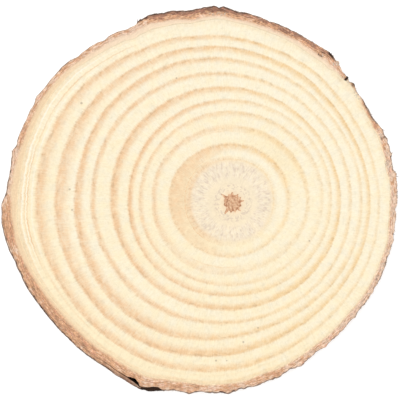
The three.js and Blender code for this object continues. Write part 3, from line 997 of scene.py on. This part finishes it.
shred_random = np.random.default_rng(71)
spread = shred_random.uniform(0, 120, 50) - 60
rows = [(at % 360, 0.3, *shred_random.uniform((0.35, 20, 0), (0.6, 150, 1))) for at in spread]
shreds = np.array(RIM_SHREDS + LYING_FIBRES + rows)
on_top = shred_random.uniform(0, 1, len(shreds)) < 0.6
on_top[:len(RIM_SHREDS + LYING_FIBRES)] = True
bearing, root_depth, length, lean, paleness = shreds.T
lean = np.radians(lean - 90)
lying = root_depth > LYING_DEEPER_THAN
shred_height = np.where(lying, tall - 0.07, np.where(on_top, tall - 0.2, 0.25))
root_reach = stem_reach(bearing) / MM + skin_relief(bearing, shred_height)[0] - root_depth

# Each is a bent spike: a diamond section carried out along its lean, thinner towards the tip.
step = np.linspace(0, 1, SHRED_STEPS)[:, None]
width = (SHRED_ROOT * (1 - step) ** 0.7 + SHRED_TIP) * np.ones_like(lean)
corner_out = np.array([1.0, 0.0, -1.0, 0.0])[:, None, None]
corner_up = np.array([0.0, 0.6, 0.0, -0.6])[:, None, None]
shred_reach = root_reach + length * np.cos(lean) * step - corner_out * width * np.sin(lean)
shred_side = length * np.sin(lean) * step + 0.08 * np.sin(step * 5 + lean)
shred_side = shred_side + corner_out * width * np.cos(lean)
shred_up = shred_height + np.where(lying, 0.01, 0.08) * np.sin(step * 4 + lean * 3) + corner_up * width
shred_bearing = bearing + np.degrees(shred_side / shred_reach)
shred_reach, shred_up = shred_reach.transpose(2, 1, 0), shred_up.transpose(2, 1, 0)
shred_bearing = shred_bearing.transpose(2, 1, 0)

first = np.arange(len(shreds))[:, None, None] * SHRED_STEPS * 4
tube = np.roll(quads_between(SHRED_STEPS, 4, False)[0][:, ::-1], 1, 1)
ends = np.array([(3, 2, 1, 0), (SHRED_STEPS - 1) * 4 + np.arange(4)])
shred_faces = np.vstack([(first + part).reshape(-1, 4) for part in (tube, ends[:1], ends[1:])])
# Flat layout: each face in a square of its own.
cell_side = int(np.ceil(np.sqrt(len(shred_faces))))
cell = np.stack(np.divmod(np.arange(len(shred_faces)), cell_side)[::-1], -1)
square = np.array([(0.1, 0.1), (0.9, 0.1), (0.9, 0.9), (0.1, 0.9)])
shred_places = (cell[:, None] + square) / cell_side
shred_tint = mix_tints(paleness[:, None, None] + 0 * shred_reach, DARK_SKIN * 1.5, PALE_SHRED)
shred = fill_mesh(
    "bark_shreds",
    bark_points(shred_reach, shred_up, shred_bearing),
    shred_faces.tolist(),
    bark_values(shred_bearing, shred_reach, np.zeros_like(shred_reach), 0.0, shred_tint),
    shred_places.reshape(-1, 2),
)
shred.data.materials.append(corky)
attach(shred, "root")
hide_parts("wood_slice")


# ======================================================================
# The table, the light and the camera
# A plain white table, lit from overhead by one broad soft light and a pale room; the table top also glows a
# little, painted light that washes out the shadow round the slice. The camera looks straight down on the
# sawn face.
FLOOR_HALF = 20.0
FLOOR_GAP = 0.02  # mm
TABLE_WHITE = (0.92, 0.92, 0.92, 1)
TABLE_PAINTED_GLOW = 0.12
ROOM_LIGHT = 0.35
SUN_POWER = 2.85
SUN_WIDTH = 40  # degrees
SUN_LEAN = (-4, -4)  # degrees about X and Y
CAMERA_LENS = 100.0
CAMERA_OFF_CENTRE = (0.05, -0.04)  # mm
FRAME_WIDTH = 101.1  # mm, how much of the sawn face's plane the picture spans

floor_mesh = bpy.data.meshes.new("table_top")
corners = np.array([(-1, -1), (1, -1), (1, 1), (-1, 1)]) * FLOOR_HALF
floor_mesh.from_pydata([(x, y, low.z - FLOOR_GAP * MM) for x, y in corners], [], [(0, 1, 2, 3)])
floor = bpy.data.objects.new("table_top", floor_mesh)
bpy.context.scene.collection.objects.link(floor)
white, white_shader = new_finish("white_table", 0.9, 0.1)
white_shader.inputs["Base Color"].default_value = TABLE_WHITE
white_shader.inputs["Emission Color"].default_value = (1, 1, 1, 1)
# Painted light: the table top glows a little, which washes out the shadow round the slice.
white_shader.inputs["Emission Strength"].default_value = TABLE_PAINTED_GLOW
floor.data.materials.append(white)

room = bpy.data.worlds.new("pale_room")
bpy.context.scene.world = room
room.use_nodes = True
room.node_tree.nodes["Background"].inputs["Color"].default_value = (1, 1, 1, 1)
room.node_tree.nodes["Background"].inputs["Strength"].default_value = ROOM_LIGHT

overhead = bpy.data.objects.new("overhead_light", bpy.data.lights.new("overhead_light", "SUN"))
overhead.data.energy = SUN_POWER
overhead.data.angle = np.radians(SUN_WIDTH)
overhead.rotation_euler = (*np.radians(SUN_LEAN), 0)
bpy.context.scene.collection.objects.link(overhead)

camera = bpy.data.objects.new("camera", bpy.data.cameras.new("camera"))
camera.data.lens = CAMERA_LENS
camera.data.clip_start = 0.01
rise = FRAME_WIDTH * MM * CAMERA_LENS / camera.data.sensor_width
middle = (low + high) / 2
camera.location = (
    middle.x + CAMERA_OFF_CENTRE[0] * MM, middle.y + CAMERA_OFF_CENTRE[1] * MM, high.z + rise
)
bpy.context.scene.collection.objects.link(camera)
bpy.context.scene.camera = camera
bpy.context.scene.view_settings.view_transform = "Standard"
